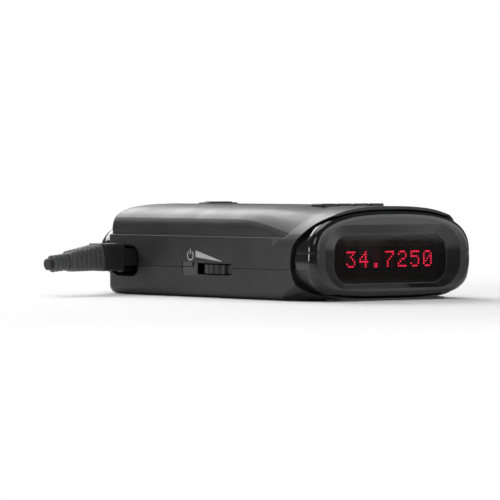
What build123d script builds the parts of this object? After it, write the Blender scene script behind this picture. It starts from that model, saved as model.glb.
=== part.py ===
from build123d import *

import math
import os

# A windscreen-mounted radar detector, in millimetres.
# Origin: centre of the flat underside. +Z up, -Y the display end that faces the driver,
# +Y the antenna nose that faces the road, -X the side with the thumbwheel and the power plug.

# ---------------------------------------------------------------- driving dimensions
HALF_WIDTH = 37.0          # casing, at its widest
CASE_FRONT = -61.0         # front lip of the arch over the display ring
CASE_REAR = 62.0           # rear wall of the casing
TOP_Z = 33.1               # crown of the arch
DOME_TOP_Z = 33.4          # crown of the rear dome
WAIST_Z = 16.5             # widest height of the arch and ring outlines
SEAM_Z = 10.8              # parting line of the two shells
SEAM_GAP = 0.1             # each shell stops this far from the parting line
SHELF_Z = 22.0             # ledge where the dome sits back from the side wall
FLOOR = 2.0
UPPER_POWER = 2.65         # superellipse exponents of the arch outline
LOWER_POWER = 4.1
FLAT_FRONT = -39.5         # the side walls are upright behind this
DOME_POWER = 3.67
DOME_WAIST_Z = 22.9
DOME_HALF_WIDTH = 36.3
DOME_START = -54.0
DOME_FULL = -18.0          # the dome reaches its full section here
DOME_REAR_ROUND = 6.5
PLAN_CORNER = 6.0
CHIN_REAR = -43.0          # in front of this the tray's bottom corners grow rounder
CHIN_REAR_POWER = 9.0
BOTTOM_ROUND = 3.0
OUTLINE_STEPS = 20         # points on half an outline

RING_FRONT = -62.0
RING_REAR = -58.6
RING_TOP = 31.9
RING_BOTTOM = 0.7
RING_HALF_WIDTH = 37.0
NECK_HALF_WIDTH = 35.7     # the casing narrows to this behind the ring
NECK_TOP = 30.5
NECK_REAR = -45.0
CHEEK_WALL = 1.8
RING_SHOULDER = 2.6
CAVITY_HALF_WIDTH = 34.0
CAVITY_REAR = 57.5

WINDOW_HALF_WIDTH = 26.0
WINDOW_BOTTOM = 5.8
WINDOW_TOP = 23.2
WINDOW_CORNER = 6.5
BOWL_HALF_WIDTH = 33.47    # the slope round the window, just in front of the ring's face
BOWL_BOTTOM, BOWL_TOP = 3.5, 27.78
BOWL_CORNER = 11.2
LIP_HALF_WIDTH = 26.0      # thin lip of the lower shell under the ring
LIP_FRONT, LIP_TOP = -61.3, 0.55
WINDOW_FRONT = -60.4
WINDOW_REAR = -58.4

BOARD_BOTTOM = 4.0
BOARD_TOP = 5.6
BOARD_HALF_WIDTH = 32.6
BOARD_FRONT, BOARD_REAR = -43.8, 55.2
CASE_SCREW_PLACES = [(-30.5, -36.0), (30.5, -36.0), (-30.5, 30.0), (30.5, 50.0)]
BOARD_SCREW_PLACES = [(-24.0, -30.0), (24.0, -40.0), (-24.0, 40.0), (28.0, 30.0)]
CASE_HEAD_RADIUS, CASE_SHANK_RADIUS = 2.4, 1.1
BOARD_HEAD_RADIUS, BOARD_SHANK_RADIUS = 1.9, 0.85
POST_FOOT, POST_RADIUS = 5.7, 2.8          # posts in the top shell that take the case screws
FRONT_POST_TOP, REAR_POST_TOP = 23.5, 27.0

WHEEL_X, WHEEL_Y = -26.0, -5.5
WHEEL_RADIUS = 12.0
WHEEL_BOTTOM, WHEEL_TOP = 8.6, 11.8
SLOT_FRONT, SLOT_REAR = -15.8, 6.2
SLOT_BOTTOM, SLOT_TOP = 8.1, 12.3
SPINDLE_RADIUS = 1.5

BUTTON_Y = -36.5
BUTTON_LENGTH = 7.0
BUTTON_WIDTH = 6.6
BUTTON_CENTRES = {"mark_button": -11.2, "brightness_button": -4.0,
                  "mute_button": 4.0, "sensitivity_button": 11.2}
BUTTON_TOP = 33.9
BUTTON_FLANGE_TOP = 29.9
PAD_TOP = 27.4

PLUG_Y, PLUG_Z = 51.8, 13.65
PLUG_INNER, PLUG_OUTER = -38.2, -47.3
PLUG_HALF = 5.1
NECK_HALF_Y, NECK_HALF_Z = 4.7, 3.2
PLUG_TIP = -22.0
JACK_FACE = -30.5          # front of the jack, behind the pocket's backing
POCKET_FLOOR = -32.4
PIN_OFFSETS = (-1.9, -0.63, 0.63, 1.9)
CORD_DROOP = 6.0           # degrees that the strain relief hangs down
CORD_RADIUS = 2.1
BOOT_LENGTH, BOOT_TAPER = 17.8, 5          # the flat grip, from inside the plug's outer face
SLEEVE_LENGTH, SLEEVE_RADIUS = 22.0, 3.2

SPEAKER_X, SPEAKER_Y = -8.0, 14.0
SPEAKER_RADIUS = 13.5
GRILLE_HOLE, GRILLE_PITCH = 0.8, 2.75      # radius of a hole, distance between rings
HORN_X = 6.0

RAIL_FRONT = 46.5          # front end of the bracket slot
RAIL_FLOOR = 30.2
RELEASE_FRONT, RELEASE_REAR = 36.0, 43.0
RELEASE_TRAVEL = 2.2

NOSE_HALF_WIDTH = 33.0
NOSE_TIP = 75.5
NOSE_TOP, NOSE_BOTTOM = 28.6, 3.2
NOSE_ROUND = 9.0
NOSE_WALL = 2.0
NOSE_SHAPE = {"waist": 14.5, "upper": 2.6, "lower": 3.0}

parts = {}


# ---------------------------------------------------------------- small helpers
def block(x0, x1, y0, y1, z0, z1):
    size = (x1 - x0, y1 - y0, z1 - z0)
    return Pos((x0 + x1) / 2, (y0 + y1) / 2, (z0 + z1) / 2) * Box(*size)


def rod_z(x, y, z0, z1, radius):
    return Pos(x, y, (z0 + z1) / 2) * Cylinder(radius, z1 - z0)


def rod_x(x0, x1, y, z, radius):
    return Pos((x0 + x1) / 2, y, z) * Rot(0, 90, 0) * Cylinder(radius, x1 - x0)


def plane_y(y):
    """Plane across the length at y: sketch X runs along +X and sketch Y along +Z."""
    return Plane(origin=(0, y, 0), x_dir=(1, 0, 0), z_dir=(0, -1, 0))


def along_y(sketch, y0, y1):
    """Extrude an X-Z outline from y0 to y1."""
    return extrude(plane_y(y1) * sketch, amount=y1 - y0)


def along_x(sketch, x0, x1):
    """Extrude a Y-Z outline from x0 to x1."""
    plane = Plane(origin=(x0, 0, 0), x_dir=(0, 1, 0), z_dir=(1, 0, 0))
    return extrude(plane * sketch, amount=x1 - x0)


def along_z(sketch, z0, z1):
    """Extrude an X-Y outline from z0 to z1."""
    return extrude(Pos(0, 0, z0) * sketch, amount=z1 - z0)


def rounded_panel(x0, x1, z0, z1, corner):
    """A rounded rectangle in an outline's own two directions."""
    return Pos((x0 + x1) / 2, (z0 + z1) / 2) * RectangleRounded(x1 - x0, z1 - z0, corner)


def half_outline(half_width, waist, reach, power, side):
    """Half a superellipse from -X to +X as a chain of arcs; side is 1 above, -1 below."""
    points = []
    for step in range(OUTLINE_STEPS + 1):
        angle = math.pi * (1 - step / OUTLINE_STEPS)
        across, up = math.cos(angle), max(math.sin(angle), 0.0)
        x = half_width * math.copysign(abs(across) ** (2 / power), across)
        points.append((x, waist + side * reach * up ** (2 / power)))
    points[0] = (-half_width, waist)
    points[-1] = (half_width, waist)
    arcs = [ThreePointArc(*points[start:start + 3]) for start in range(0, OUTLINE_STEPS, 2)]
    return Curve() + arcs


def outline(half_width, top, bottom, waist=WAIST_Z, upper=UPPER_POWER, lower=LOWER_POWER):
    """A closed superellipse outline with its own exponent above and below the waist."""
    upper_half = half_outline(half_width, waist, top - waist, upper, 1)
    lower_half = half_outline(half_width, waist, waist - bottom, lower, -1)
    return make_face(upper_half + lower_half)


def above(z):
    return block(-60, 60, -90, 90, z, 60)


def below(z):
    return block(-60, 60, -90, 90, -20, z)


# ---------------------------------------------------------------- casing outer form
def plan_outline(half_width, rear, corner):
    """Casing seen from above: square in front, two rounded rear corners."""
    front = CASE_FRONT
    path = Polyline((-half_width, front), (half_width, front), (half_width, rear - corner))
    path += RadiusArc((half_width, rear - corner), (half_width - corner, rear), -corner)
    path += Line((half_width - corner, rear), (corner - half_width, rear))
    path += RadiusArc((corner - half_width, rear), (-half_width, rear - corner), -corner)
    path += Line((-half_width, rear - corner), (-half_width, front))
    return make_face(path)


def crescent():
    """Side view of the space in front of the shells, where the neck and cheeks show."""
    edge = Spline((-61.4, 0.6), (-55.5, 3.0), (-51.5, 6.4), (-49.6, 10.8), (-49.5, 15.0),
                  (-50.6, 19.3), (-54.3, 23.6), (-59.0, 28.1), (-61.4, 30.2))
    closing = Polyline((-61.4, 30.2), (-70.0, 30.2), (-70.0, 0.6), (-61.4, 0.6))
    return along_x(make_face(edge + closing), -45, 45)


def behind_arch():
    """Seen from above, the region behind the crest line of the arch, above the shelf."""
    right = [(9.0, -34.0), (15.0, -43.0), (20.0, -48.4), (27.0, -51.0), (33.0, -49.6),
             (36.2, -45.5), (38.0, -39.0)]
    left = [(-x, y) for x, y in reversed(right)]
    crest = Spline(*left, (0.0, -30.5), *right)
    closing = Polyline((38.0, -39.0), (38.0, 80.0), (-38.0, 80.0), (-38.0, -39.0))
    return along_z(make_face(crest + closing), SHELF_Z, 50)


def dome_section(y, inset=0.0):
    """One cross-section of the dome: arch-like in front, fuller and squarer further back."""
    share = min(max((y - DOME_START) / (DOME_FULL - DOME_START), 0.0), 1.0)
    share = share * share * (3 - 2 * share)
    top = TOP_Z - 0.5 + share * (DOME_TOP_Z - TOP_Z + 0.5) - inset
    waist = WAIST_Z + share * (DOME_WAIST_Z - WAIST_Z)
    power = UPPER_POWER + share * (DOME_POWER - UPPER_POWER)
    base = WAIST_Z - 1.0
    half_width = DOME_HALF_WIDTH - inset
    roof = half_outline(half_width, waist, top - waist, power, 1)
    sides = Polyline((half_width, waist), (half_width, base),
                     (-half_width, base), (-half_width, waist))
    return plane_y(y) * make_face(roof + sides)


def dome():
    """The inset roof behind the arch; its sections shrink in a quarter circle at the rear."""
    turn = CASE_REAR - 0.6 - DOME_REAR_ROUND
    growth = (DOME_FULL - DOME_START) / 4
    front = loft([dome_section(DOME_START + growth * step) for step in range(5)])
    middle = extrude(dome_section(turn), amount=turn - DOME_FULL)
    rear_sections = []
    for degrees in (0, 18, 36, 54, 72):
        angle = math.radians(degrees)
        y = turn + DOME_REAR_ROUND * math.sin(angle)
        rear_sections.append(dome_section(y, DOME_REAR_ROUND * (1 - math.cos(angle))))
    return front + middle + loft(rear_sections)


def upper_cavity():
    """Room inside the top shell: lower under the arch, higher under the dome."""
    throat = along_y(outline(NECK_HALF_WIDTH + 0.1, NECK_TOP + 0.1, 2.0), -70, NECK_REAR + 0.1)
    front = along_y(outline(CAVITY_HALF_WIDTH, NECK_TOP + 0.1, 2.0), -46, -18)
    hall_outline = outline(CAVITY_HALF_WIDTH, 31.0, 2.0, waist=DOME_WAIST_Z,
                           upper=DOME_POWER, lower=12.0)
    hall = along_y(hall_outline, -20, CAVITY_REAR)
    return throat + front + hall


def side_flats():
    """Upright side walls up to the shelf; in front they fade into the arch."""
    faded, fade_front = HALF_WIDTH - 1.5, FLAT_FRONT - 9.0
    path = Polyline((-HALF_WIDTH, FLAT_FRONT), (-faded, fade_front), (faded, fade_front),
                    (HALF_WIDTH, FLAT_FRONT), (HALF_WIDTH, 70), (-HALF_WIDTH, 70), close=True)
    return along_z(make_face(path), 5.0, SHELF_Z - 0.05)


def upper_envelope():
    """Side walls and arch: one superellipse run along the casing, and its rear corners."""
    run = along_y(outline(HALF_WIDTH, TOP_Z, 0.0), CASE_FRONT, CASE_REAR) + side_flats()
    plan = along_z(plan_outline(HALF_WIDTH + 0.01, CASE_REAR, PLAN_CORNER), 0, 50)
    walls = run & plan & above(SEAM_Z + SEAM_GAP)
    walls -= behind_arch()
    roof = dome() & above(SEAM_Z + SEAM_GAP)
    cavity = upper_cavity()
    return (walls - cavity) + (roof - cavity)


def lower_envelope():
    """The tray below the seam, with its bottom edges rounded."""
    tray = along_z(plan_outline(HALF_WIDTH - 0.1, CASE_REAR, PLAN_CORNER), 0, SEAM_Z - SEAM_GAP)
    floor_edges = tray.edges().group_by(Axis.Z)[0]
    front_y = CASE_FRONT + 0.5
    rounded = [edge for edge in floor_edges if edge.bounding_box().max.Y > front_y]
    return fillet(rounded, BOTTOM_ROUND)


def chin():
    """What the tray's front may fill: its bottom corners grow rounder towards the ring."""
    rear_face = plane_y(CHIN_REAR) * outline(HALF_WIDTH + 1.2, TOP_Z, -1.0, lower=CHIN_REAR_POWER)
    front_face = plane_y(RING_REAR + 0.1) * outline(HALF_WIDTH - 0.1, TOP_Z, 0.05)
    return loft([rear_face, front_face]) + block(-50, 50, CHIN_REAR - 0.01, 90, -5, 40)


# ---------------------------------------------------------------- casing cuts
def wheel_slot():
    """Window for the thumbwheel, with a bevelled scoop at its rear end."""
    slot = block(-40, -31, SLOT_FRONT, SLOT_REAR, SLOT_BOTTOM, SLOT_TOP)
    ramp = Polyline((-38.5, SLOT_REAR + 7.2), (-36.7, SLOT_REAR + 7.2), (-35.2, SLOT_REAR - 0.5),
                    (-38.5, SLOT_REAR - 0.5), close=True)
    return slot + along_z(make_face(ramp), SLOT_BOTTOM - 0.2, SLOT_TOP + 0.4)


def jack_pocket():
    """Flared pocket in the left wall around the power jack, and the opening behind it."""
    plane = Plane(origin=(POCKET_FLOOR, 0, 0), x_dir=(0, -1, 0), z_dir=(-1, 0, 0))
    floor_shape = rounded_panel(-56.0, -40.6, 7.6, 17.0, 3.6)
    pocket = extrude(plane * floor_shape, amount=7.0, taper=-12)
    opening = block(-40, -28, PLUG_Y - 5.1, PLUG_Y + 5.1, 7.6, PLUG_Z + 3.6)
    return pocket + opening


def jack_backing():
    """Thicker wall that the pocket is sunk into."""
    return block(-35.5, JACK_FACE - 0.1, 38.0, CAVITY_REAR, 1.0, 20.0)


def nose_outline(clearance):
    return outline(NOSE_HALF_WIDTH + clearance, NOSE_TOP + clearance, NOSE_BOTTOM - clearance,
                   **NOSE_SHAPE)


def rear_opening():
    return along_y(nose_outline(0.1), CAVITY_REAR - 0.5, CASE_REAR + 5)


def speaker_grille():
    """Small round holes in rings above the speaker."""
    holes = [rod_z(SPEAKER_X, SPEAKER_Y, 28, 36, GRILLE_HOLE)]
    for ring, count in ((1, 6), (2, 12), (3, 18), (4, 24)):
        for index in range(count):
            angle = 2 * math.pi * index / count
            x = SPEAKER_X + GRILLE_PITCH * ring * math.cos(angle)
            y = SPEAKER_Y + GRILLE_PITCH * ring * math.sin(angle)
            holes.append(rod_z(x, y, 28, 36, GRILLE_HOLE))
    return holes


def bracket_rail():
    """Undercut slot that the mirror bracket's foot slides into from the rear."""
    undercut = block(-10.5, 10.5, RAIL_FRONT, 70, RAIL_FLOOR, 31.8)
    mouth = block(-8.0, 8.0, RAIL_FRONT, 70, RAIL_FLOOR, 40)
    return undercut + mouth


def release_channel():
    """Guide for the release button and its pawl, open above for the thumb piece."""
    guide = block(-7.6, 7.6, 30.5, RAIL_FRONT - 2.0, 29.9, 31.5)
    window = block(-7.3, 7.3, RELEASE_FRONT - RELEASE_TRAVEL - 0.3, RELEASE_REAR + 0.3, 31, 40)
    pawl_gap = block(-3.2, 3.2, RAIL_FRONT - 4.0, RAIL_FRONT + 1.0, 30.0, 31.9)
    return guide + window + pawl_gap


def button_openings():
    """Room under the roof for the button flanges, and a window for each cap."""
    openings = [block(-17.2, 17.2, -41.2, -31.8, 24, BUTTON_FLANGE_TOP + 0.1)]
    half_x, half_y = BUTTON_WIDTH / 2 + 0.2, BUTTON_LENGTH / 2 + 0.2
    for x in BUTTON_CENTRES.values():
        openings.append(block(x - half_x, x + half_x, BUTTON_Y - half_y, BUTTON_Y + half_y, 29, 40))
    return openings


def seam_grooves():
    """Grooves in the top shell's lower edge that take the bottom shell's tongues."""
    sides = [sorted((side * 33.5, side * 35.7)) for side in (-1, 1)]
    return [block(*side, -42, 37.5, SEAM_Z, SEAM_Z + 1.6) for side in sides]


def top_shell_ribs():
    """Solid parts inside the top shell: bracket rail, jack backing, screw posts, board ribs."""
    ribs = [block(-12.5, 12.5, 29.5, CAVITY_REAR + 0.5, 28.5, 31.6)]
    ribs.append(jack_backing() & above(SEAM_Z + SEAM_GAP))
    for x, y in CASE_SCREW_PLACES:
        top = REAR_POST_TOP if y > 0 else FRONT_POST_TOP
        ribs.append(rod_z(x, y, POST_FOOT, top, POST_RADIUS))
    for x in (-19.0, 19.0):
        ribs.append(block(x - 1.5, x + 1.5, -44, -28, 24.0, 30.2))
    return ribs


def make_top_shell():
    shell = upper_envelope() - crescent()
    shell -= along_y(outline(RING_HALF_WIDTH + 0.3, RING_TOP + 0.1, 0), -70, RING_REAR + 0.1)
    for rib in top_shell_ribs():
        shell += rib
    cuts = [rear_opening(), bracket_rail(), release_channel()]
    cuts += button_openings() + speaker_grille()
    cuts += [rod_z(x, y, 5, 15.5, CASE_SHANK_RADIUS + 0.05) for x, y in CASE_SCREW_PLACES]
    cuts += seam_grooves() + [wheel_slot(), jack_pocket()]
    for cut in cuts:
        shell -= cut
    return shell


def front_lip():
    """Thin lip of the bottom shell that runs forward under the display ring."""
    lip = along_z(rounded_panel(-LIP_HALF_WIDTH, LIP_HALF_WIDTH, LIP_FRONT, -48, 3), 0, LIP_TOP)
    return lip & block(-40, 40, -70, -56, -1, 2)


def floor_screw_holes():
    """Counterbored holes for the case screws and blind ones for the board screws."""
    holes = []
    for x, y in CASE_SCREW_PLACES:
        holes.append(rod_z(x, y, -1, 6, CASE_SHANK_RADIUS + 0.15))
        holes.append(rod_z(x, y, -1, 2.3, CASE_HEAD_RADIUS + 0.3))
    for x, y in BOARD_SCREW_PLACES:
        holes.append(rod_z(x, y, 1.2, 5, BOARD_SHANK_RADIUS + 0.05))
    return holes


def make_bottom_shell():
    tray = (lower_envelope() & chin()) - crescent()
    neck = along_y(outline(NECK_HALF_WIDTH, TOP_Z, 0.1), RING_REAR + 0.1, -46)
    tray += neck & below(SEAM_Z - SEAM_GAP)
    tray += front_lip()
    tray -= along_y(outline(NECK_HALF_WIDTH - 2.0, 40, FLOOR), -70, -44)
    tray -= along_y(outline(CAVITY_HALF_WIDTH, 40, FLOOR, lower=9.0), -46, CAVITY_REAR)
    tray += jack_backing() & below(SEAM_Z - SEAM_GAP)
    for x, y in CASE_SCREW_PLACES:
        tray += rod_z(x, y, 0.5, 5.5, 3.2)
    for x, y in BOARD_SCREW_PLACES:
        tray += rod_z(x, y, 1.0, BOARD_BOTTOM, 2.6)
    for side in (-1, 1):
        tongue = sorted((side * 34.4, side * 35.6))
        tray += block(*tongue, -41.5, 37, 8.0, SEAM_Z + 1.4)
        inner_room = sorted((side * 33.0, side * 34.5))
        tray -= block(*inner_room, -44, 37.4, 7.5, 20)
    for cut in [rear_opening()] + floor_screw_holes() + [wheel_slot(), jack_pocket()]:
        tray -= cut
    return tray


# ---------------------------------------------------------------- display end
def window_outline(margin):
    return rounded_panel(-WINDOW_HALF_WIDTH - margin, WINDOW_HALF_WIDTH + margin,
                         WINDOW_BOTTOM - margin, WINDOW_TOP + margin, WINDOW_CORNER + margin)


def make_front_bezel():
    """Glossy ring round the display, one piece with the two cheeks behind it."""
    ring = along_y(outline(RING_HALF_WIDTH, RING_TOP, RING_BOTTOM), RING_FRONT, RING_REAR)
    neck = along_y(outline(NECK_HALF_WIDTH, NECK_TOP, RING_BOTTOM), RING_REAR - 1.0, NECK_REAR)
    bezel = ring + (neck & above(SEAM_Z))
    inner_width, inner_top = NECK_HALF_WIDTH - CHEEK_WALL, NECK_TOP - CHEEK_WALL
    bezel -= along_y(outline(inner_width, inner_top, RING_BOTTOM + 2), RING_REAR, NECK_REAR + 1)
    bowl_front = rounded_panel(-BOWL_HALF_WIDTH, BOWL_HALF_WIDTH, BOWL_BOTTOM, BOWL_TOP, BOWL_CORNER)
    bezel -= loft([plane_y(WINDOW_FRONT) * window_outline(0.25),
                   plane_y(RING_FRONT - 0.6) * bowl_front])
    bezel -= along_y(window_outline(0.0), WINDOW_FRONT - 0.6, RING_REAR + 1)
    bezel -= along_y(window_outline(1.8), WINDOW_REAR - 1.1, RING_REAR + 1)
    front_edges = bezel.faces().filter_by(Axis.Y).sort_by(Axis.Y)[0].outer_wire().edges()
    return fillet(front_edges, RING_SHOULDER)


def make_display_window():
    """Smoked lens: a face that fills the opening and a thin flange behind it."""
    face = along_y(window_outline(-0.08), WINDOW_FRONT, WINDOW_REAR)
    flange = along_y(window_outline(1.6), WINDOW_REAR - 1.0, WINDOW_REAR)
    return face + flange


def make_display_module():
    """Seven-character dot-matrix block."""
    return block(-23.2, 25.8, -58.3, -53.6, 7.8, 21.2)


def make_display_board():
    plate = along_y(rounded_panel(-30.0, 30.0, 4.6, 24.0, 2), -53.5, -52.0)
    return plate - block(-30.5, -26, -54, -51, 4, 6.4) - block(26, 30.5, -54, -51, 4, 6.4)


def make_ribbon_cable():
    path = FilletPolyline((-51.9, 11.0), (-45.2, 11.0), (-45.2, 8.1), radius=2.0)
    return along_x(trace(path, 0.35), -9, 9)


# ---------------------------------------------------------------- top buttons
def make_button(centre_x):
    """Cap through the roof, a flange that keeps it in, and a stem to the pad."""
    half_x, half_y = BUTTON_WIDTH / 2, BUTTON_LENGTH / 2
    cap = block(centre_x - half_x, centre_x + half_x, BUTTON_Y - half_y, BUTTON_Y + half_y,
                BUTTON_FLANGE_TOP - 0.5, BUTTON_TOP)
    cap = fillet(cap.edges().filter_by(Axis.Z), 0.9)
    cap = fillet(cap.edges().group_by(Axis.Z)[-1], 0.5)
    flange = block(centre_x - half_x - 0.15, centre_x + half_x + 0.15, BUTTON_Y - half_y - 0.9,
                   BUTTON_Y + half_y + 0.9, BUTTON_FLANGE_TOP - 1.0, BUTTON_FLANGE_TOP)
    return cap + flange + rod_z(centre_x, BUTTON_Y, PAD_TOP + 0.75, BUTTON_FLANGE_TOP - 0.5, 1.4)


def make_button_pad():
    sheet = block(-16.5, 16.5, BUTTON_Y - 4.4, BUTTON_Y + 4.4, 26.6, 26.9)
    for x in BUTTON_CENTRES.values():
        sheet += rod_z(x, BUTTON_Y, 26.6, PAD_TOP, 2.2)
    return sheet


def make_button_board():
    return block(-20.5, 20.5, -43.5, -28.5, 22.6, 23.8)


def make_tact_switches():
    switches = []
    for x in BUTTON_CENTRES.values():
        body = block(x - 2.2, x + 2.2, BUTTON_Y - 2.2, BUTTON_Y + 2.2, 23.8, 25.8)
        switches.append(body + rod_z(x, BUTTON_Y, 25.8, 26.5, 1.2))
    return switches


# ---------------------------------------------------------------- volume control
def make_thumbwheel():
    """Wheel with broad rounded ribs for the thumb, bored for the spindle."""
    ribs, depth, samples = 26, 0.8, 8
    points = []
    for index in range(ribs * samples):
        wave = math.cos(2 * math.pi * index / samples)
        radius = WHEEL_RADIUS - depth / 2 + depth / 2 * wave
        angle = 2 * math.pi * index / (ribs * samples)
        points.append((WHEEL_X + radius * math.cos(angle), WHEEL_Y + radius * math.sin(angle)))
    wheel = along_z(make_face(Polyline(*points, close=True)), WHEEL_BOTTOM, WHEEL_TOP)
    wheel -= rod_z(WHEEL_X, WHEEL_Y, 10.6, 13, 8.6) - rod_z(WHEEL_X, WHEEL_Y, 10, 14, 3.2)
    return wheel - rod_z(WHEEL_X, WHEEL_Y, 8, 13, SPINDLE_RADIUS + 0.02)


def make_volume_spindle():
    return rod_z(WHEEL_X, WHEEL_Y, 6.8, WHEEL_TOP + 0.3, SPINDLE_RADIUS)


def make_volume_control():
    """Rotary control with its off switch, under the wheel."""
    body = block(WHEEL_X - 5.5, WHEEL_X + 5.5, WHEEL_Y - 5.5, WHEEL_Y + 5.5, BOARD_TOP, 8.2)
    body = fillet(body.edges().filter_by(Axis.Z), 1.0)
    return body - rod_z(WHEEL_X, WHEEL_Y, 6.6, 9, SPINDLE_RADIUS + 0.06)


# ---------------------------------------------------------------- power jack and cord
def make_power_jack():
    """Four-way modular jack on the main board."""
    body = block(JACK_FACE, -18.0, PLUG_Y - 5.6, PLUG_Y + 5.6, BOARD_TOP, 19.0)
    body -= block(-40, -20.4, PLUG_Y - 4.9, PLUG_Y + 4.9, PLUG_Z - 3.4, PLUG_Z + 3.4)
    body -= block(-40, -20.4, PLUG_Y - 2.0, PLUG_Y + 2.0, 7.4, PLUG_Z)
    for offset in PIN_OFFSETS:
        y = PLUG_Y + offset
        body -= block(-31, -20.4, y - 0.35, y + 0.35, PLUG_Z + 3.0, PLUG_Z + 4.4)
    return body


def make_jack_contacts():
    springs = []
    for offset in PIN_OFFSETS:
        y = PLUG_Y + offset
        springs.append(block(-30.3, -20.6, y - 0.22, y + 0.22, PLUG_Z + 3.6, PLUG_Z + 4.1))
    return springs


def make_plug_body():
    """Flat moulded block outside, four-way modular nose inside the jack."""
    grip = block(PLUG_OUTER, PLUG_INNER, PLUG_Y - PLUG_HALF - 0.1, PLUG_Y + PLUG_HALF + 0.1,
                 PLUG_Z - PLUG_HALF, PLUG_Z + PLUG_HALF)
    grip = fillet(grip.edges().filter_by(Axis.X), 0.9)
    grip = fillet(grip.faces().sort_by(Axis.X)[-1].edges(), 0.5)
    nose = block(PLUG_INNER - 1, PLUG_TIP, PLUG_Y - NECK_HALF_Y, PLUG_Y + NECK_HALF_Y,
                 PLUG_Z - NECK_HALF_Z, PLUG_Z + NECK_HALF_Z)
    nose = chamfer(nose.faces().sort_by(Axis.X)[-1].edges(), 0.4)
    body = grip + nose
    for offset in PIN_OFFSETS:
        y = PLUG_Y + offset
        body -= block(-26.5, -22.8, y - 0.25, y + 0.25, PLUG_Z + 1.6, PLUG_Z + 4)
    return body


def make_plug_contacts():
    blades = []
    for offset in PIN_OFFSETS:
        y = PLUG_Y + offset
        blades.append(block(-26.4, -22.9, y - 0.2, y + 0.2, PLUG_Z + 1.7, PLUG_Z + 3.1))
    return blades


def make_plug_latch():
    """Springy tab under the nose; its free end hangs down behind the jack's lip."""
    root_z = PLUG_Z - NECK_HALF_Z - 0.05
    side = Polyline((-23.6, root_z), (-36.8, root_z - 1.5), (-36.8, root_z - 2.4),
                    (-24.2, root_z - 1.0), (-23.6, root_z - 0.6), close=True)
    return along_y(make_face(side), PLUG_Y - 1.6, PLUG_Y + 1.6)


def drooped(shape):
    """Turn a piece made straight along -X down about the plug's outer face."""
    pivot = Pos(PLUG_OUTER, PLUG_Y, PLUG_Z)
    return pivot * Rot(0, -CORD_DROOP, 0) * pivot.inverse() * shape


def make_strain_relief():
    """Soft boot: a flat tapering grip, then a round ringed sleeve."""
    plane = Plane(origin=(PLUG_OUTER + 3, PLUG_Y, PLUG_Z), x_dir=(0, -1, 0), z_dir=(-1, 0, 0))
    width = 2 * PLUG_HALF
    grip = extrude(plane * RectangleRounded(width, width, 1.6), amount=BOOT_LENGTH, taper=BOOT_TAPER)
    sleeve = rod_x(PLUG_OUTER - SLEEVE_LENGTH, PLUG_OUTER - 13, PLUG_Y, PLUG_Z, SLEEVE_RADIUS)
    boot = drooped(grip + sleeve)
    boot &= block(-90, PLUG_OUTER - 0.05, 30, 80, -20, 40)
    return boot - drooped(rod_x(PLUG_OUTER - 40, PLUG_OUTER - 2, PLUG_Y, PLUG_Z, CORD_RADIUS + 0.05))


def make_cord_stub():
    end = PLUG_OUTER - SLEEVE_LENGTH - 0.8
    return drooped(rod_x(end, PLUG_OUTER - 2.4, PLUG_Y, PLUG_Z, CORD_RADIUS))


# ---------------------------------------------------------------- bracket release
def make_release_button():
    """Sliding thumb piece with three grip ridges, and the pawl that holds the bracket."""
    cap = block(-7.0, 7.0, RELEASE_FRONT, RELEASE_REAR, 31.0, 33.9)
    cap = fillet(cap.edges().filter_by(Axis.Z), 1.0)
    cap = fillet(cap.edges().group_by(Axis.Z)[-1], 0.4)
    for index in range(3):
        y = RELEASE_FRONT + 1.9 + 1.6 * index
        cap += block(-5.0, 5.0, y - 0.35, y + 0.35, 33.5, 34.2)
    plate = block(-7.2, 7.2, RELEASE_FRONT - 0.5, RAIL_FRONT - 2.2, 30.0, 31.2)
    pawl = block(-3.0, 3.0, RAIL_FRONT - 3.0, RAIL_FRONT + 1.8, 30.3, 31.7)
    return cap + plate + pawl


def make_release_spring():
    coil = Helix(pitch=0.75, height=3.9, radius=0.55)
    wire = sweep(Plane(origin=coil @ 0, z_dir=coil % 0) * Circle(0.13), path=coil, is_frenet=True)
    return Pos(0, 30.85, 30.7) * Rot(-90, 0, 0) * wire


# ---------------------------------------------------------------- electronics
def make_main_board():
    half = BOARD_HALF_WIDTH
    plate = block(-half, half, BOARD_FRONT, BOARD_REAR, BOARD_BOTTOM, BOARD_TOP)
    for x, y in CASE_SCREW_PLACES:
        plate -= rod_z(x, y, 3, 7, 3.5)
        plate -= block(*sorted((x, x + math.copysign(6, x))), y - 3.5, y + 3.5, 3, 7)
    for x, y in BOARD_SCREW_PLACES:
        plate -= rod_z(x, y, 3, 7, 1.1)
    return plate - block(-40, -30.4, 37.6, 60, 3, 7)


def make_board_components():
    """Processor, memory, capacitors, coils and cable connectors, on the main board."""
    floor = BOARD_TOP
    pieces = [block(8, 20, -32, -20, floor, floor + 1.4), block(-6, 2, -30, -25, floor, 7.1)]
    pieces += [block(22, 30, -18, -13, floor, 7.0), block(-24, -17, 20, 26, floor, 9.6)]
    pieces += [block(-10, 10, -43.4, -41.4, floor, 7.9)]
    for x, y in ((-13, 42), (-13, 33)):
        pieces.append(rod_z(x, y, floor, 14.5, 3.2))
    for x, y in ((-25, 15), (28, 4)):
        coil = block(x - 3, x + 3, y - 3, y + 3, floor, 9)
        pieces.append(fillet(coil.edges().filter_by(Axis.Z), 1.0))
    return pieces


def make_rf_shield():
    """Folded tin can over the receiver."""
    can = block(-12.0, 24.0, -11.0, 18.0, BOARD_TOP, 10.2)
    can = fillet(can.edges().group_by(Axis.Z)[-1], 0.6)
    return can - block(-11.6, 23.6, -10.6, 17.6, BOARD_TOP - 1, 9.8)


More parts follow.
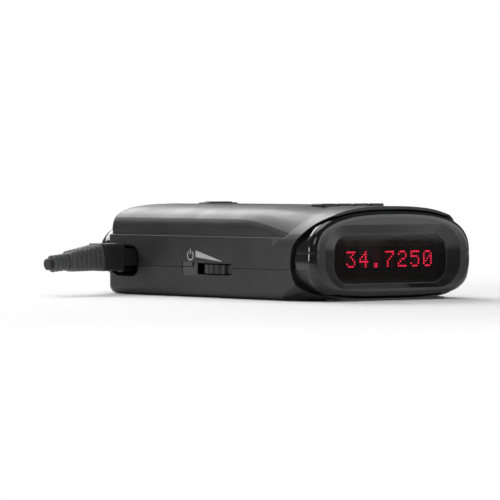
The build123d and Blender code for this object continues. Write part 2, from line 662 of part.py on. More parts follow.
def make_horn_antenna():
    """Cast horn that opens towards the road."""
    def section(y, half_x, half_z):
        plane = Plane(origin=(HORN_X, y, 13.7), x_dir=(1, 0, 0), z_dir=(0, -1, 0))
        return plane * Rectangle(2 * half_x, 2 * half_z)
    outer = loft([section(55.4, 17.0, 7.9), section(30.0, 7.5, 5.0)])
    inner = loft([section(55.5, 16.0, 6.9), section(30.0, 6.5, 4.0)])
    block_end = block(HORN_X - 7.5, HORN_X + 7.5, 20.0, 30.1, 5.7, 18.7)
    return outer - inner + block_end


def make_laser_sensor():
    """Infrared receiver with a small round lens, above the horn."""
    body = block(HORN_X - 5, HORN_X + 5, 46.0, 53.0, 21.8, 27.4)
    lens = Pos(HORN_X, 53.9, 24.6) * Rot(90, 0, 0) * Cylinder(2.3, 2.0)
    return body + lens


def make_speaker():
    """Basket with its magnet."""
    basket = rod_z(SPEAKER_X, SPEAKER_Y, 27.8, 29.4, SPEAKER_RADIUS)
    basket += Pos(SPEAKER_X, SPEAKER_Y, 26.0) * Cone(8.0, 12.5, 3.6)
    basket += rod_z(SPEAKER_X, SPEAKER_Y, 21.5, 24.4, 7.5)
    return basket - Pos(SPEAKER_X, SPEAKER_Y, 27.4) * Cone(6.0, 11.6, 4.02)


def make_speaker_cone():
    outer = Pos(SPEAKER_X, SPEAKER_Y, 27.6) * Cone(5.2, 11.0, 3.2)
    inner = Pos(SPEAKER_X, SPEAKER_Y, 28.0) * Cone(5.2, 11.0, 3.2)
    return outer - inner


def make_speaker_gasket():
    ring = rod_z(SPEAKER_X, SPEAKER_Y, 29.4, 30.2, SPEAKER_RADIUS)
    return ring - rod_z(SPEAKER_X, SPEAKER_Y, 29, 31, 12.0)


def make_speaker_wires():
    wires = []
    for offset in (-0.8, 0.8):
        x = -20.5 + offset
        path = Spline((x, 23.0, 9.7), (x - 1.2, 26.5, 18.0), (x + 1.0, 24.0, 27.7),
                      tangents=[(0, 0, 1), (0.6, -1, 0.4)])
        start = Plane(origin=path @ 0, z_dir=path % 0)
        wires.append(sweep(start * Circle(0.45), path=path))
    return wires


# ---------------------------------------------------------------- nose and fasteners
def nose_solid(inset, start, tip, radius):
    """The nose outline run from start to tip, its end rounded over in a quarter circle."""
    turn = tip - radius
    faces = []
    for degrees in (0, 20, 40, 60, 80):
        angle = math.radians(degrees)
        face = nose_outline(-inset - radius * (1 - math.cos(angle)))
        faces.append(plane_y(turn + radius * math.sin(angle)) * face)
    return along_y(nose_outline(-inset), start, turn) + loft(faces)


def make_rear_lens():
    """Radar-clear nose: a hollow cap held between the shells by its flange."""
    start = CAVITY_REAR - 1.6
    outer = nose_solid(0.0, start, NOSE_TIP, NOSE_ROUND)
    inner = nose_solid(NOSE_WALL, start - 1, NOSE_TIP - NOSE_WALL, NOSE_ROUND - NOSE_WALL)
    flange_shape = outline(NOSE_HALF_WIDTH + 0.7, NOSE_TOP + 0.7, 2.2, **NOSE_SHAPE)
    flange = along_y(flange_shape, start, CAVITY_REAR - 0.1)
    cap = outer + flange - inner
    cap -= block(-40, -16, 50, CAVITY_REAR + 0.1, -5, 20.5)
    return cap - block(-40, 40, 50, CAVITY_REAR + 0.1, 26.5, 40)


def cross_recess(x, y, z0, z1, size):
    slot = block(x - size, x + size, y - 0.3, y + 0.3, z0, z1)
    return slot + block(x - 0.3, x + 0.3, y - size, y + size, z0, z1)


def make_case_screws():
    screws = []
    for x, y in CASE_SCREW_PLACES:
        screw = rod_z(x, y, 0.7, 2.3, CASE_HEAD_RADIUS) + rod_z(x, y, 2.2, 14.5, CASE_SHANK_RADIUS)
        screws.append(screw - cross_recess(x, y, 0, 1.7, 1.4))
    return screws


def make_board_screws():
    screws = []
    for x, y in BOARD_SCREW_PLACES:
        screw = rod_z(x, y, BOARD_TOP, 7.0, BOARD_HEAD_RADIUS)
        screw += rod_z(x, y, 1.5, 5.8, BOARD_SHANK_RADIUS)
        screws.append(screw - cross_recess(x, y, 6.3, 7.5, 1.2))
    return screws


# ---------------------------------------------------------------- build and write
parts["top_shell"] = make_top_shell()
parts["bottom_shell"] = make_bottom_shell()
parts["front_bezel"] = make_front_bezel()
parts["display_window"] = make_display_window()
parts["display_module"] = make_display_module()
parts["display_board"] = make_display_board()
parts["ribbon_cable"] = make_ribbon_cable()
for name, centre in BUTTON_CENTRES.items():
    parts[name] = make_button(centre)
parts["button_pad"] = make_button_pad()
parts["button_board"] = make_button_board()
parts["tact_switches"] = make_tact_switches()
parts["thumbwheel"] = make_thumbwheel()
parts["volume_spindle"] = make_volume_spindle()
parts["volume_control"] = make_volume_control()
parts["power_jack"] = make_power_jack()
parts["jack_contacts"] = make_jack_contacts()
parts["plug_body"] = make_plug_body()
parts["plug_contacts"] = make_plug_contacts()
parts["plug_latch"] = make_plug_latch()
parts["strain_relief"] = make_strain_relief()
parts["cord_stub"] = make_cord_stub()
parts["release_button"] = make_release_button()
parts["release_spring"] = make_release_spring()
parts["main_board"] = make_main_board()
parts["board_components"] = make_board_components()
parts["rf_shield"] = make_rf_shield()
parts["horn_antenna"] = make_horn_antenna()
parts["laser_sensor"] = make_laser_sensor()
parts["speaker"] = make_speaker()
parts["speaker_cone"] = make_speaker_cone()
parts["speaker_gasket"] = make_speaker_gasket()
parts["speaker_wires"] = make_speaker_wires()
parts["rear_lens"] = make_rear_lens()
parts["case_screws"] = make_case_screws()
parts["board_screws"] = make_board_screws()

os.makedirs("parts", exist_ok=True)
for name, shape in parts.items():
    if isinstance(shape, list):
        shape = Compound(children=[Compound(item.solids()) for item in shape])
    export_step(shape, f"parts/{name}.step")
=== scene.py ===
import math

import bmesh
import bpy
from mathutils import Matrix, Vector

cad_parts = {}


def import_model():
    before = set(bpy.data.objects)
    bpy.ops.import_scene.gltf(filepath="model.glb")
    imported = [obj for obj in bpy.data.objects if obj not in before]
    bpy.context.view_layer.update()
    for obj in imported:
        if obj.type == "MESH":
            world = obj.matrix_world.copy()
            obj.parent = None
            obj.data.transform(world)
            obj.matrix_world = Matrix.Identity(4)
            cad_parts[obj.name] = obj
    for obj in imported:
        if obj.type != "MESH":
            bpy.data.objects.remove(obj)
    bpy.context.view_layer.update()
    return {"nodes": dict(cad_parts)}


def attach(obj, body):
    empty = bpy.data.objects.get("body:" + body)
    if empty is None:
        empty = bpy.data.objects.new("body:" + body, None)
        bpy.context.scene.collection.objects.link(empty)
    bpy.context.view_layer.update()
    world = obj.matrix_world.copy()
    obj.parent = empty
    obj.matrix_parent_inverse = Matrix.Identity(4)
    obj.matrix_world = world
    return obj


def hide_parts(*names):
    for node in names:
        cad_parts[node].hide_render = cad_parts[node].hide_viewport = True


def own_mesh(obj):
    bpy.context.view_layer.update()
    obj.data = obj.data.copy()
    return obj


# Looks of a windscreen-mounted radar detector. Lengths in this script are millimetres and
# become metres in skin(); +Z is up, -Y is the display end and -X is the plug side.
MM = 0.001

# ---------------------------------------------------------------- driving dimensions
READOUT = "34.7250"
DIGIT_DOTS = {
    "0": ("01110", "10001", "10011", "10101", "11001", "10001", "01110"),
    "2": ("01110", "10001", "00001", "00110", "01000", "10000", "11111"),
    "3": ("11111", "00010", "00100", "00010", "00001", "10001", "01110"),
    "4": ("00010", "00110", "01010", "10010", "11111", "00010", "00010"),
    "5": ("11111", "10000", "11110", "00001", "00001", "10001", "01110"),
    "7": ("11111", "00001", "00010", "00100", "01000", "01000", "01000"),
    ".": ("00000", "00000", "00000", "00000", "00000", "01100", "01100"),
}
MATRIX_LEFT, MATRIX_TOP = -18.4, 16.9      # centre of the first dot of the first cell
CELL_PITCH, DOT_PITCH, DOT_RADIUS = 5.95, 0.85, 0.33
MATRIX_FACE = -58.3                        # front of the display block
ICON_ROW_Z = 19.4                          # row of unlit icon dots above the cells

LEFT_WALL_X = -37.0
WALL_PROBE_X = -60.0                       # rays towards the left wall start here
PRINT_PROUD, PRINT_DEPTH = 0.03, 0.10
ARC_STEPS, WEDGE_STEPS = 24, 8
POWER_Y, POWER_Z, POWER_RADIUS, POWER_LINE = 8.3, 15.0, 1.7, 0.42
POWER_ARC_START, POWER_ARC_SPAN = 125, 290  # degrees; the gap that is left faces up
POWER_BAR_LOW, POWER_BAR_HIGH = 0.3, 2.4    # ends of the bar above the circle's centre
WEDGE_TALL = (5.1, 14.4, 16.8)             # y, lower z, upper z
WEDGE_TIP = (-10.3, 13.0, 13.2)

CRISP_ANGLE = math.radians(35)
PLUG_FACE, PLUG_Y, PLUG_Z = -47.35, 51.8, 13.65
CORD_DROOP = math.radians(6)
BOOT_RIBS, BOOT_RIB_PITCH, BOOT_RIB_CREST = 7, 2.0, 0.6
BOOT_HALF, BOOT_TAPER, BOOT_GROOVE = 4.95, 0.088, 0.55
SLEEVE_START, SLEEVE_RINGS, SLEEVE_PITCH = 14.9, 4, 1.75
SLEEVE_RADIUS, SLEEVE_GROOVE = 3.15, 0.65
RIB_SQUARENESS, ROUND = 5.0, 2.0           # superellipse exponents of the boot's two stretches
BOOT_RING_POINTS = 32

SPRING_FIXED_END, SPRING_Z = 30.7, 30.7    # the coil runs from here along +Y to the button
SPRING_TURNS, SPRING_PITCH = 5, 0.76
SPRING_RADIUS, SPRING_WIRE = 0.55, 0.13
COIL_STEPS, WIRE_POINTS = 12, 8            # rings per turn of the coil, points per ring

BROAD_NOISE_SCALE = 70.0                   # one patch of unevenness is about 14 mm across
WORLD_GLOW, WORLD_SEEN = 0.14, 1.0         # brightness as a light, and as the camera sees it
FLOOR_HALF, FLOOR_Z = 4.0, -0.0002         # metres
FLOOR_PAINTED, FLOOR_WHITE = 0.10, 0.34    # metres from the origin where the paint fades out
PANELS = (                                 # name, direction, distance, width, height (m), brightness
    ("front_right", (0.66, -0.78, 0.22), 1.3, 1.3, 0.9, 1.7),
    ("camera_fill", (-0.75, -0.75, 0.55), 1.5, 0.5, 0.4, 3.0),
    ("rear_above", (0.05, 0.80, 0.62), 1.3, 1.3, 0.7, 5.0),
    ("left_strip", (-0.87, 0.49, 0.08), 1.4, 0.16, 0.30, 20.0),
    ("above", (-0.1, 0.1, 1.0), 1.4, 1.0, 1.0, 2.9),
)

CAMERA_AZIMUTH, CAMERA_ELEVATION = -38.3, 1.2   # degrees
CAMERA_DISTANCE = 1.341                    # metres
CAMERA_LENS = 262.0                        # mm, on the default sensor
CAMERA_TARGET = (-0.0079, 0.0102, 0.0165)  # metres


# ---------------------------------------------------------------- materials
def add(tree, kind, **settings):
    """A shader node; each setting is an attribute or, with _ for spaces, an input."""
    node = tree.nodes.new(kind)
    for name, value in settings.items():
        if hasattr(node, name):
            setattr(node, name, value)
        else:
            node.inputs[name.replace("_", " ")].default_value = value
    return node


def grey(value):
    return (value, value, value, 1.0)


def empty_material(name):
    material = bpy.data.materials.new(name)
    material.use_nodes = True
    material.node_tree.nodes.clear()
    return material, material.node_tree


def noise_pair(tree, grain):
    """Fine grain, in millimetres per feature, and broad unevenness over the whole piece."""
    place = add(tree, "ShaderNodeTexCoord").outputs["Object"]
    fine = add(tree, "ShaderNodeTexNoise", Scale=1.0 / (grain * MM), Detail=3.0)
    broad = add(tree, "ShaderNodeTexNoise", Scale=BROAD_NOISE_SCALE, Detail=3.0)
    tree.links.new(place, fine.inputs["Vector"])
    tree.links.new(place, broad.inputs["Vector"])
    return fine.outputs["Fac"], broad.outputs["Fac"]


def spread(tree, source, low, high):
    """Map the middle of a noise value to low ... high."""
    node = add(tree, "ShaderNodeMapRange", From_Min=0.3, From_Max=0.7, To_Min=low, To_Max=high)
    tree.links.new(source, node.inputs["Value"])
    return node.outputs["Result"]


def edge_mask(tree, softened):
    """1 on convex and concave edges, 0 on open faces."""
    geometry = add(tree, "ShaderNodeNewGeometry")
    dot = add(tree, "ShaderNodeVectorMath", operation="DOT_PRODUCT")
    tree.links.new(softened, dot.inputs[0])
    tree.links.new(geometry.outputs["Normal"], dot.inputs[1])
    mask = add(tree, "ShaderNodeMapRange", From_Min=0.99, From_Max=0.85, To_Min=0.0, To_Max=1.0)
    tree.links.new(dot.outputs["Value"], mask.inputs["Value"])
    return mask.outputs["Result"]


def surface(name, dark, light, rough, grain=0.5, bump=0.2, edge_wear_and_highlight=0.5, edge=0.25, metallic=0.0,
            coat=0.0, unevenness=0.06):
    """A finish with grain, uneven roughness, softened edges and paler edges: partly edge wear,
    partly a painted edge highlight.
    """
    material, tree = empty_material(name)
    link = tree.links.new
    fine, broad = noise_pair(tree, grain)
    tone = add(tree, "ShaderNodeMixRGB", Color1=(*dark, 1.0), Color2=(*light, 1.0))
    link(spread(tree, broad, 0.0, 1.0), tone.inputs["Fac"])
    speckle = add(tree, "ShaderNodeMixRGB", blend_type="MULTIPLY", Fac=1.0)
    link(tone.outputs["Color"], speckle.inputs["Color1"])
    link(spread(tree, fine, 0.88, 1.08), speckle.inputs["Color2"])
    softened = add(tree, "ShaderNodeBevel", samples=4, Radius=edge * MM).outputs["Normal"]
    # Paler colour on convex and concave edges: partly wear, partly a painted highlight where light
    # catches the edges.
    wear_and_highlight_colour = tuple(min(channel * (1 + 2.2 * edge_wear_and_highlight) + 0.02 * edge_wear_and_highlight, 1.0) for channel in light)
    wear_and_highlight = add(tree, "ShaderNodeMixRGB", Color2=(*wear_and_highlight_colour, 1.0))
    link(edge_mask(tree, softened), wear_and_highlight.inputs["Fac"])
    link(speckle.outputs["Color"], wear_and_highlight.inputs["Color1"])
    relief = add(tree, "ShaderNodeBump", Strength=bump, Distance=0.06 * MM)
    link(fine, relief.inputs["Height"])
    link(softened, relief.inputs["Normal"])
    shader = add(tree, "ShaderNodeBsdfPrincipled", Metallic=metallic, Coat_Weight=coat,
                 Coat_Roughness=0.04)
    link(wear_and_highlight.outputs["Color"], shader.inputs["Base Color"])
    link(spread(tree, broad, rough - unevenness, rough + unevenness), shader.inputs["Roughness"])
    link(relief.outputs["Normal"], shader.inputs["Normal"])
    output = add(tree, "ShaderNodeOutputMaterial")
    link(shader.outputs["BSDF"], output.inputs["Surface"])
    return material


def smoked_lens(name):
    """Dark clear plastic: tinted see-through in the middle, mirror-like at the surface."""
    material, tree = empty_material(name)
    link = tree.links.new
    fine, broad = noise_pair(tree, 0.8)
    clear = add(tree, "ShaderNodeBsdfTransparent")
    tint = add(tree, "ShaderNodeMixRGB", Color1=(0.46, 0.39, 0.39, 1.0),
               Color2=(0.53, 0.45, 0.45, 1.0))
    link(broad, tint.inputs["Fac"])
    link(tint.outputs["Color"], clear.inputs["Color"])
    gloss = add(tree, "ShaderNodeBsdfGlossy")
    link(spread(tree, broad, 0.03, 0.06), gloss.inputs["Roughness"])
    relief = add(tree, "ShaderNodeBump", Strength=0.005, Distance=0.01 * MM)
    link(fine, relief.inputs["Height"])
    link(relief.outputs["Normal"], gloss.inputs["Normal"])
    fresnel = add(tree, "ShaderNodeFresnel", IOR=1.46)
    inner_side = add(tree, "ShaderNodeNewGeometry").outputs["Backfacing"]
    outer_only = add(tree, "ShaderNodeMapRange", To_Min=1.0, To_Max=0.0)
    link(inner_side, outer_only.inputs["Value"])
    share = add(tree, "ShaderNodeMath", operation="MULTIPLY")
    link(fresnel.outputs["Fac"], share.inputs[0])
    link(outer_only.outputs["Result"], share.inputs[1])
    mix = add(tree, "ShaderNodeMixShader")
    link(share.outputs["Value"], mix.inputs["Fac"])
    link(clear.outputs["BSDF"], mix.inputs[1])
    link(gloss.outputs["BSDF"], mix.inputs[2])
    output = add(tree, "ShaderNodeOutputMaterial")
    link(mix.outputs["Shader"], output.inputs["Surface"])
    return material


def lamp_dots(name, colour, low, high):
    """Display dots; each one glows a little differently from the next. On the unlit dots this faint
    glow is painted light.
    """
    material, tree = empty_material(name)
    link = tree.links.new
    fine, _ = noise_pair(tree, 2.0)
    shader = add(tree, "ShaderNodeBsdfPrincipled", Base_Color=(*colour, 1.0), Roughness=0.35,
                 Emission_Color=(*colour, 1.0))
    link(spread(tree, fine, low, high), shader.inputs["Emission Strength"])
    output = add(tree, "ShaderNodeOutputMaterial")
    link(shader.outputs["BSDF"], output.inputs["Surface"])
    return material


def finishes():
    """One material for each kind of surface."""
    return {
        "casing": surface("satin_casing", (0.008, 0.008, 0.009), (0.012, 0.012, 0.013), 0.40,
                          grain=0.35, bump=0.32, edge_wear_and_highlight=0.5),
        "bezel": surface("gloss_bezel", (0.004, 0.004, 0.005), (0.006, 0.006, 0.007), 0.16,
                         grain=1.5, bump=0.02, edge_wear_and_highlight=0.08, edge=0.08, coat=0.35, unevenness=0.04),
        "window": smoked_lens("smoked_window"),
        "display": surface("display_block", (0.002, 0.002, 0.002), (0.004, 0.003, 0.003), 0.5,
                           grain=0.8, bump=0.05, edge_wear_and_highlight=0.2),
        "button": surface("button_plastic", (0.012, 0.012, 0.013), (0.017, 0.017, 0.018), 0.38,
                          grain=0.3, bump=0.25, edge_wear_and_highlight=0.9),
        "wheel": surface("wheel_plastic", (0.016, 0.016, 0.017), (0.024, 0.024, 0.025), 0.42,
                         grain=0.3, bump=0.25, edge_wear_and_highlight=0.9),
        "plug": surface("plug_plastic", (0.028, 0.028, 0.029), (0.038, 0.038, 0.040), 0.40,
                        grain=0.5, bump=0.15, edge_wear_and_highlight=0.6),
        # Strong edge paling: painted highlight stripes along the rib edges, partly wear.
        "boot": surface("boot_rubber", (0.060, 0.060, 0.062), (0.080, 0.080, 0.083), 0.50,
                        grain=0.4, bump=0.2, edge_wear_and_highlight=0.9),
        "cord": surface("cord_rubber", (0.015, 0.015, 0.016), (0.022, 0.022, 0.023), 0.5,
                        grain=0.4, bump=0.3, edge_wear_and_highlight=0.4),
        "nose": surface("nose_plastic", (0.006, 0.004, 0.005), (0.010, 0.005, 0.006), 0.10,
                        grain=1.5, bump=0.02, edge_wear_and_highlight=0.2, coat=0.4, unevenness=0.04),
        "print": surface("printed_ink", (0.42, 0.42, 0.42), (0.52, 0.52, 0.52), 0.5,
                         grain=0.2, bump=0.1, edge_wear_and_highlight=0.0, edge=0.05),
        "board": surface("board_mask", (0.006, 0.055, 0.022), (0.010, 0.080, 0.032), 0.35,
                         grain=0.6, bump=0.1, edge_wear_and_highlight=0.8),
        "component": surface("component_mould", (0.018, 0.018, 0.019), (0.028, 0.028, 0.029), 0.5,
                             grain=0.25, bump=0.3, edge_wear_and_highlight=0.6),
        "ribbon": surface("ribbon_film", (0.45, 0.44, 0.42), (0.55, 0.54, 0.51), 0.4,
                          grain=0.5, bump=0.1, edge_wear_and_highlight=0.1),
        "pad": surface("silicone_pad", (0.05, 0.05, 0.055), (0.07, 0.07, 0.075), 0.6,
                       grain=0.5, bump=0.1, edge_wear_and_highlight=0.2),
        "steel": surface("plain_steel", (0.42, 0.42, 0.43), (0.55, 0.55, 0.56), 0.28,
                         grain=0.2, bump=0.1, edge_wear_and_highlight=0.3, metallic=1.0),
        "tin": surface("tinned_sheet", (0.50, 0.51, 0.52), (0.64, 0.65, 0.66), 0.3,
                       grain=0.5, bump=0.1, edge_wear_and_highlight=0.3, metallic=1.0),
        "horn": surface("cast_horn", (0.40, 0.40, 0.41), (0.52, 0.52, 0.53), 0.5,
                        grain=0.4, bump=0.4, edge_wear_and_highlight=0.4, metallic=1.0),
        "contact": surface("gold_contact", (0.70, 0.48, 0.16), (0.85, 0.62, 0.25), 0.2,
                           grain=0.3, bump=0.05, edge_wear_and_highlight=0.2, metallic=1.0),
        "screw": surface("black_screw", (0.10, 0.10, 0.105), (0.16, 0.16, 0.165), 0.35,
                         grain=0.2, bump=0.15, edge_wear_and_highlight=1.0, metallic=1.0),
        "basket": surface("painted_basket", (0.05, 0.05, 0.055), (0.07, 0.07, 0.075), 0.4,
                          grain=0.4, bump=0.1, edge_wear_and_highlight=0.6, metallic=0.5),
        "cone": surface("paper_cone", (0.03, 0.028, 0.026), (0.045, 0.042, 0.04), 0.8,
                        grain=0.3, bump=0.6, edge_wear_and_highlight=0.1),
        "wire": surface("wire_skin", (0.35, 0.02, 0.02), (0.45, 0.03, 0.03), 0.45,
                        grain=0.5, bump=0.1, edge_wear_and_highlight=0.2),
        "lit": lamp_dots("lit_dots", (1.0, 0.03, 0.10), 4.0, 5.6),
        # The switched-off dots get a faint painted glow.
        "unlit": lamp_dots("unlit_dots_painted_glow", (0.10, 0.006, 0.010), 0.5, 1.1),
    }


NODE_FINISH = {
    "top_shell": "casing", "bottom_shell": "casing", "front_bezel": "bezel",
    "display_window": "window", "display_module": "display", "display_board": "board",
    "ribbon_cable": "ribbon", "mark_button": "button", "brightness_button": "button",
    "mute_button": "button", "sensitivity_button": "button", "button_pad": "pad",
    "button_board": "board", "tact_switches": "component", "thumbwheel": "wheel",
    "volume_spindle": "steel", "volume_control": "component", "power_jack": "component",
    "jack_contacts": "contact", "plug_body": "plug", "plug_contacts": "contact",
    "plug_latch": "plug", "strain_relief": "boot", "cord_stub": "cord",
    "release_button": "button", "release_spring": "steel", "main_board": "board",
    "board_components": "component", "rf_shield": "tin", "horn_antenna": "horn",
    "laser_sensor": "nose", "speaker": "basket", "speaker_cone": "cone",
    "speaker_gasket": "pad", "speaker_wires": "wire", "rear_lens": "nose",
    "case_screws": "screw", "board_screws": "screw",
}


def dress(piece, material):
    piece.data.materials.clear()
    piece.data.materials.append(material)
    return piece


# ---------------------------------------------------------------- mesh helpers
def skin(name, tubes):
    """A mesh of closed solids; each tube is a list of equal rings, capped at both ends."""
    mesh = bmesh.new()
    for rings in tubes:
        loops = [[mesh.verts.new(Vector(point) * MM) for point in ring] for ring in rings]
        mesh.faces.new(loops[0])
        mesh.faces.new(list(reversed(loops[-1])))
        for near, far in zip(loops, loops[1:]):
            for index in range(len(near)):
                following = (index + 1) % len(near)
                mesh.faces.new((near[following], near[index], far[index], far[following]))
    bmesh.ops.recalc_face_normals(mesh, faces=mesh.faces)
    data = bpy.data.meshes.new(name)
    mesh.to_mesh(data)
    mesh.free()
    piece = bpy.data.objects.new(name, data)
    bpy.context.scene.collection.objects.link(piece)
    return piece


def smooth_rings(piece):
    """Smooth shading, kept crisp at edges sharper than CRISP_ANGLE."""
    for face in piece.data.polygons:
        face.use_smooth = True
    piece.data.set_sharp_from_angle(angle=CRISP_ANGLE)
    return piece


# ---------------------------------------------------------------- display
def dot_tube(x, z):
    """One round dot as a shallow eight-sided drum on the display block."""
    corners = [math.radians(22.5 + 45 * index) for index in range(8)]
    rings = []
    for y, radius in ((MATRIX_FACE - 0.01, DOT_RADIUS), (MATRIX_FACE - 0.06, DOT_RADIUS * 0.9)):
        rings.append([(x + radius * math.cos(a), y, z + radius * math.sin(a)) for a in corners])
    return rings


def matrix_dots():
    """Tubes of the lit dots and of the unlit ones, over all cells of the readout."""
    lit, unlit = [], []
    for cell, character in enumerate(READOUT):
        for row, pattern in enumerate(DIGIT_DOTS[character]):
            for column, state in enumerate(pattern):
                x = MATRIX_LEFT + cell * CELL_PITCH + column * DOT_PITCH
                z = MATRIX_TOP - row * DOT_PITCH
                (lit if state == "1" else unlit).append(dot_tube(x, z))
        for column in range(5):
            x = MATRIX_LEFT + cell * CELL_PITCH + column * DOT_PITCH
            unlit.append(dot_tube(x, ICON_ROW_Z))
    return lit, unlit


def make_display(materials):
    lit, unlit = matrix_dots()
    for name, tubes in (("lit", lit), ("unlit", unlit)):
        piece = dress(skin("display_dots_" + name, tubes), materials[name])
        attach(piece, "case")


# ---------------------------------------------------------------- printed symbols
def wall_x(shell, y, z):
    """Where a ray along +X first meets the left wall of the shell."""
    start = Vector((WALL_PROBE_X, y, z)) * MM
    found, place, _, _ = shell.ray_cast(start, Vector((1, 0, 0)))
    return place.x / MM if found else LEFT_WALL_X


def print_strip(shell, sides):
    """A thin closed strip on the wall; sides are pairs of (y, z) points along it."""
    rings = []
    for (y0, z0), (y1, z1) in sides:
        x0, x1 = wall_x(shell, y0, z0), wall_x(shell, y1, z1)
        rings.append([(x0 - PRINT_PROUD, y0, z0), (x1 - PRINT_PROUD, y1, z1),
                      (x1 + PRINT_DEPTH, y1, z1), (x0 + PRINT_DEPTH, y0, z0)])
    return rings


def power_symbol(shell):
    """Open circle with an upright bar in the gap."""
    inner, outer = POWER_RADIUS - POWER_LINE / 2, POWER_RADIUS + POWER_LINE / 2
    arc = []
    for step in range(ARC_STEPS + 1):
        angle = math.radians(POWER_ARC_START + step * POWER_ARC_SPAN / ARC_STEPS)
        across, up = math.cos(angle), math.sin(angle)
        arc.append(((POWER_Y + inner * across, POWER_Z + inner * up),
                    (POWER_Y + outer * across, POWER_Z + outer * up)))
    half = POWER_LINE / 2
    bar = []
    for z in (POWER_Z + POWER_BAR_LOW, POWER_Z + POWER_BAR_HIGH):
        bar.append(((POWER_Y - half, z), (POWER_Y + half, z)))
    return [print_strip(shell, arc), print_strip(shell, bar)]


def volume_wedge(shell):
    """Wedge that grows taller towards the loud end."""
    sides = []
    for step in range(WEDGE_STEPS + 1):
        share = step / WEDGE_STEPS
        y, low, high = (a + share * (b - a) for a, b in zip(WEDGE_TIP, WEDGE_TALL))
        sides.append(((y, low), (y, high)))
    return [print_strip(shell, sides)]


def make_prints(shell, materials):
    for name, tubes in (("power_symbol", power_symbol(shell)),
                        ("volume_wedge", volume_wedge(shell))):
        piece = dress(skin(name, tubes), materials["print"])
        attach(piece, "case")


# ---------------------------------------------------------------- cord boot
def boot_ring(distance, half, power):
    """One cross-section of the drooping boot, never inside the plug's outer face."""
    cos, sin = math.cos(CORD_DROOP), math.sin(CORD_DROOP)
    ring = []
    for index in range(BOOT_RING_POINTS):
        angle = 2 * math.pi * index / BOOT_RING_POINTS
        across, up = math.cos(angle), math.sin(angle)
        y = half * math.copysign(abs(across) ** (2 / power), across)
        rise = half * math.copysign(abs(up) ** (2 / power), up)
        x = PLUG_FACE + 0.05 - distance * cos - rise * sin
        z = PLUG_Z - distance * sin + rise * cos
        ring.append((min(x, PLUG_FACE), PLUG_Y + y, z))
    return ring


def boot_profile():
    """(distance, half size, squareness) along the boot: flat ribs, then round rings."""
    profile = []
    for rib in range(BOOT_RIBS):
        start = 0.1 + rib * BOOT_RIB_PITCH
        for offset, inset in ((0.0, 0.12), (0.12, 0.0), (BOOT_RIB_CREST - 0.12, 0.0),
                              (BOOT_RIB_CREST, 0.12), (BOOT_RIB_CREST + 0.15, BOOT_GROOVE),
                              (BOOT_RIB_PITCH - 0.15, BOOT_GROOVE)):
            distance = start + offset
            half = BOOT_HALF - BOOT_TAPER * distance - inset
            profile.append((distance, half, RIB_SQUARENESS))
    profile.append((SLEEVE_START - 0.55, SLEEVE_RADIUS - SLEEVE_GROOVE, ROUND))
    for ring in range(SLEEVE_RINGS):
        start = SLEEVE_START - 0.4 + ring * SLEEVE_PITCH
        for offset, inset in ((0.0, SLEEVE_GROOVE), (0.2, 0.15), (0.4, 0.0), (0.85, 0.0),
                              (1.05, 0.15), (1.25, SLEEVE_GROOVE)):
            profile.append((start + offset, SLEEVE_RADIUS - inset, ROUND))
    return profile


def make_boot(materials):
    rings = [boot_ring(*section) for section in boot_profile()]
    piece = smooth_rings(dress(skin("ribbed_strain_relief", [rings]), materials["boot"]))
    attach(piece, "plug")
    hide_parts("strain_relief")


# ---------------------------------------------------------------- release spring
def make_spring(materials):
    """Coil that pushes the release button back; the real coil shortens as the button slides, this
    one is built at one length.
    """
    rings = []
    along = Vector((0, 1, 0))
    for step in range(SPRING_TURNS * COIL_STEPS + 1):
        turn = 2 * math.pi * step / COIL_STEPS
        out = Vector((math.cos(turn), 0, math.sin(turn)))
        y = SPRING_FIXED_END + SPRING_WIRE + SPRING_PITCH * step / COIL_STEPS
        middle = Vector((0, y, SPRING_Z)) + SPRING_RADIUS * out
        corners = [2 * math.pi * index / WIRE_POINTS for index in range(WIRE_POINTS)]
        rings.append([middle + SPRING_WIRE * (math.cos(a) * out + math.sin(a) * along)
                      for a in corners])
    piece = smooth_rings(dress(skin("release_coil", [rings]), materials["steel"]))
    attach(piece, "case")
    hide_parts("release_spring")
    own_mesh(piece)


# ---------------------------------------------------------------- studio
def make_floor():
    """Wide pale floor just under the casing; it fades into the white behind."""
    data = bpy.data.meshes.new("floor")
    signs = ((-1, -1), (1, -1), (1, 1), (-1, 1))
    corners = [(x * FLOOR_HALF, y * FLOOR_HALF, FLOOR_Z) for x, y in signs]
    data.from_pydata(corners, [], [(0, 1, 2, 3)])
    floor = bpy.data.objects.new("floor", data)
    bpy.context.scene.collection.objects.link(floor)
    return dress(floor, floor_paint())


def studio_glow(tree):
    """Brightness of the white surroundings: full for the camera, dim as a light source."""
    seen = add(tree, "ShaderNodeLightPath").outputs["Is Camera Ray"]
    strength = add(tree, "ShaderNodeMapRange", To_Min=WORLD_GLOW, To_Max=WORLD_SEEN)
    tree.links.new(seen, strength.inputs["Value"])
    return strength.outputs["Result"]


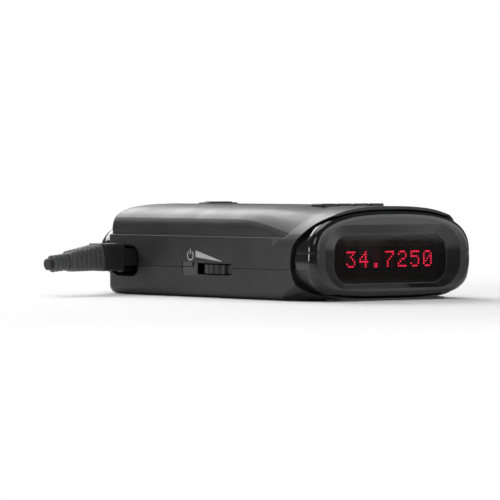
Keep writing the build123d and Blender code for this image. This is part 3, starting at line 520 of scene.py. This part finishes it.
def floor_paint():
    """Matt pale paint near the object, plain white further out."""
    material, tree = empty_material("pale_floor")
    link = tree.links.new
    fine, broad = noise_pair(tree, 4.0)
    paint = add(tree, "ShaderNodeBsdfPrincipled")
    tone = add(tree, "ShaderNodeMixRGB", Color1=grey(0.84), Color2=grey(0.88))
    link(broad, tone.inputs["Fac"])
    link(tone.outputs["Color"], paint.inputs["Base Color"])
    link(spread(tree, fine, 0.6, 0.7), paint.inputs["Roughness"])
    white = add(tree, "ShaderNodeEmission")
    link(studio_glow(tree), white.inputs["Strength"])
    place = add(tree, "ShaderNodeTexCoord").outputs["Object"]
    reach = add(tree, "ShaderNodeVectorMath", operation="LENGTH")
    link(place, reach.inputs[0])
    fade = add(tree, "ShaderNodeMapRange", interpolation_type="SMOOTHSTEP",
               From_Min=FLOOR_PAINTED, From_Max=FLOOR_WHITE)
    link(reach.outputs["Value"], fade.inputs["Value"])
    mix = add(tree, "ShaderNodeMixShader")
    link(fade.outputs["Result"], mix.inputs["Fac"])
    link(paint.outputs["BSDF"], mix.inputs[1])
    link(white.outputs["Emission"], mix.inputs[2])
    output = add(tree, "ShaderNodeOutputMaterial")
    link(mix.outputs["Shader"], output.inputs["Surface"])
    return material


def make_world():
    """White behind the object; a dim even glow for everything the world lights."""
    world = bpy.data.worlds.new("studio")
    world.use_nodes = True
    tree = world.node_tree
    background = tree.nodes["Background"]
    background.inputs["Color"].default_value = grey(1.0)
    tree.links.new(studio_glow(tree), background.inputs["Strength"])
    bpy.context.scene.world = world


def soft_panel(name, direction, distance, width, height, brightness):
    """A soft box that faces the object; brightness is what a mirror would show of it."""
    data = bpy.data.lights.new(name, "AREA")
    data.shape = "RECTANGLE"
    data.size, data.size_y = width, height
    data.energy = brightness * math.pi * width * height
    light = bpy.data.objects.new(name, data)
    away = Vector(direction).normalized()
    light.location = away * distance
    light.rotation_euler = (-away).to_track_quat("-Z", "Y").to_euler()
    bpy.context.scene.collection.objects.link(light)


def make_lights():
    """Panels placed by what each side of the casing reflects towards the camera."""
    for name, direction, distance, width, height, brightness in PANELS:
        soft_panel(name, direction, distance, width, height, brightness)


def make_camera():
    azimuth, elevation = math.radians(CAMERA_AZIMUTH), math.radians(CAMERA_ELEVATION)
    target = Vector(CAMERA_TARGET)
    away = Vector((math.sin(azimuth) * math.cos(elevation),
                   -math.cos(azimuth) * math.cos(elevation), math.sin(elevation)))
    data = bpy.data.cameras.new("camera")
    data.lens = CAMERA_LENS
    data.clip_start, data.clip_end = 0.05, 30.0
    camera = bpy.data.objects.new("camera", data)
    camera.location = target + away * CAMERA_DISTANCE
    camera.rotation_euler = (-away).to_track_quat("-Z", "Y").to_euler()
    bpy.context.scene.collection.objects.link(camera)
    bpy.context.scene.camera = camera


# ---------------------------------------------------------------- build
def main():
    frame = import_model()
    materials = finishes()
    for node, finish in NODE_FINISH.items():
        dress(frame["nodes"][node], materials[finish])
    make_display(materials)
    make_prints(frame["nodes"]["top_shell"], materials)
    make_boot(materials)
    make_spring(materials)
    make_floor()
    make_world()
    make_lights()
    make_camera()
    bpy.context.scene.view_settings.view_transform = "Standard"


main()
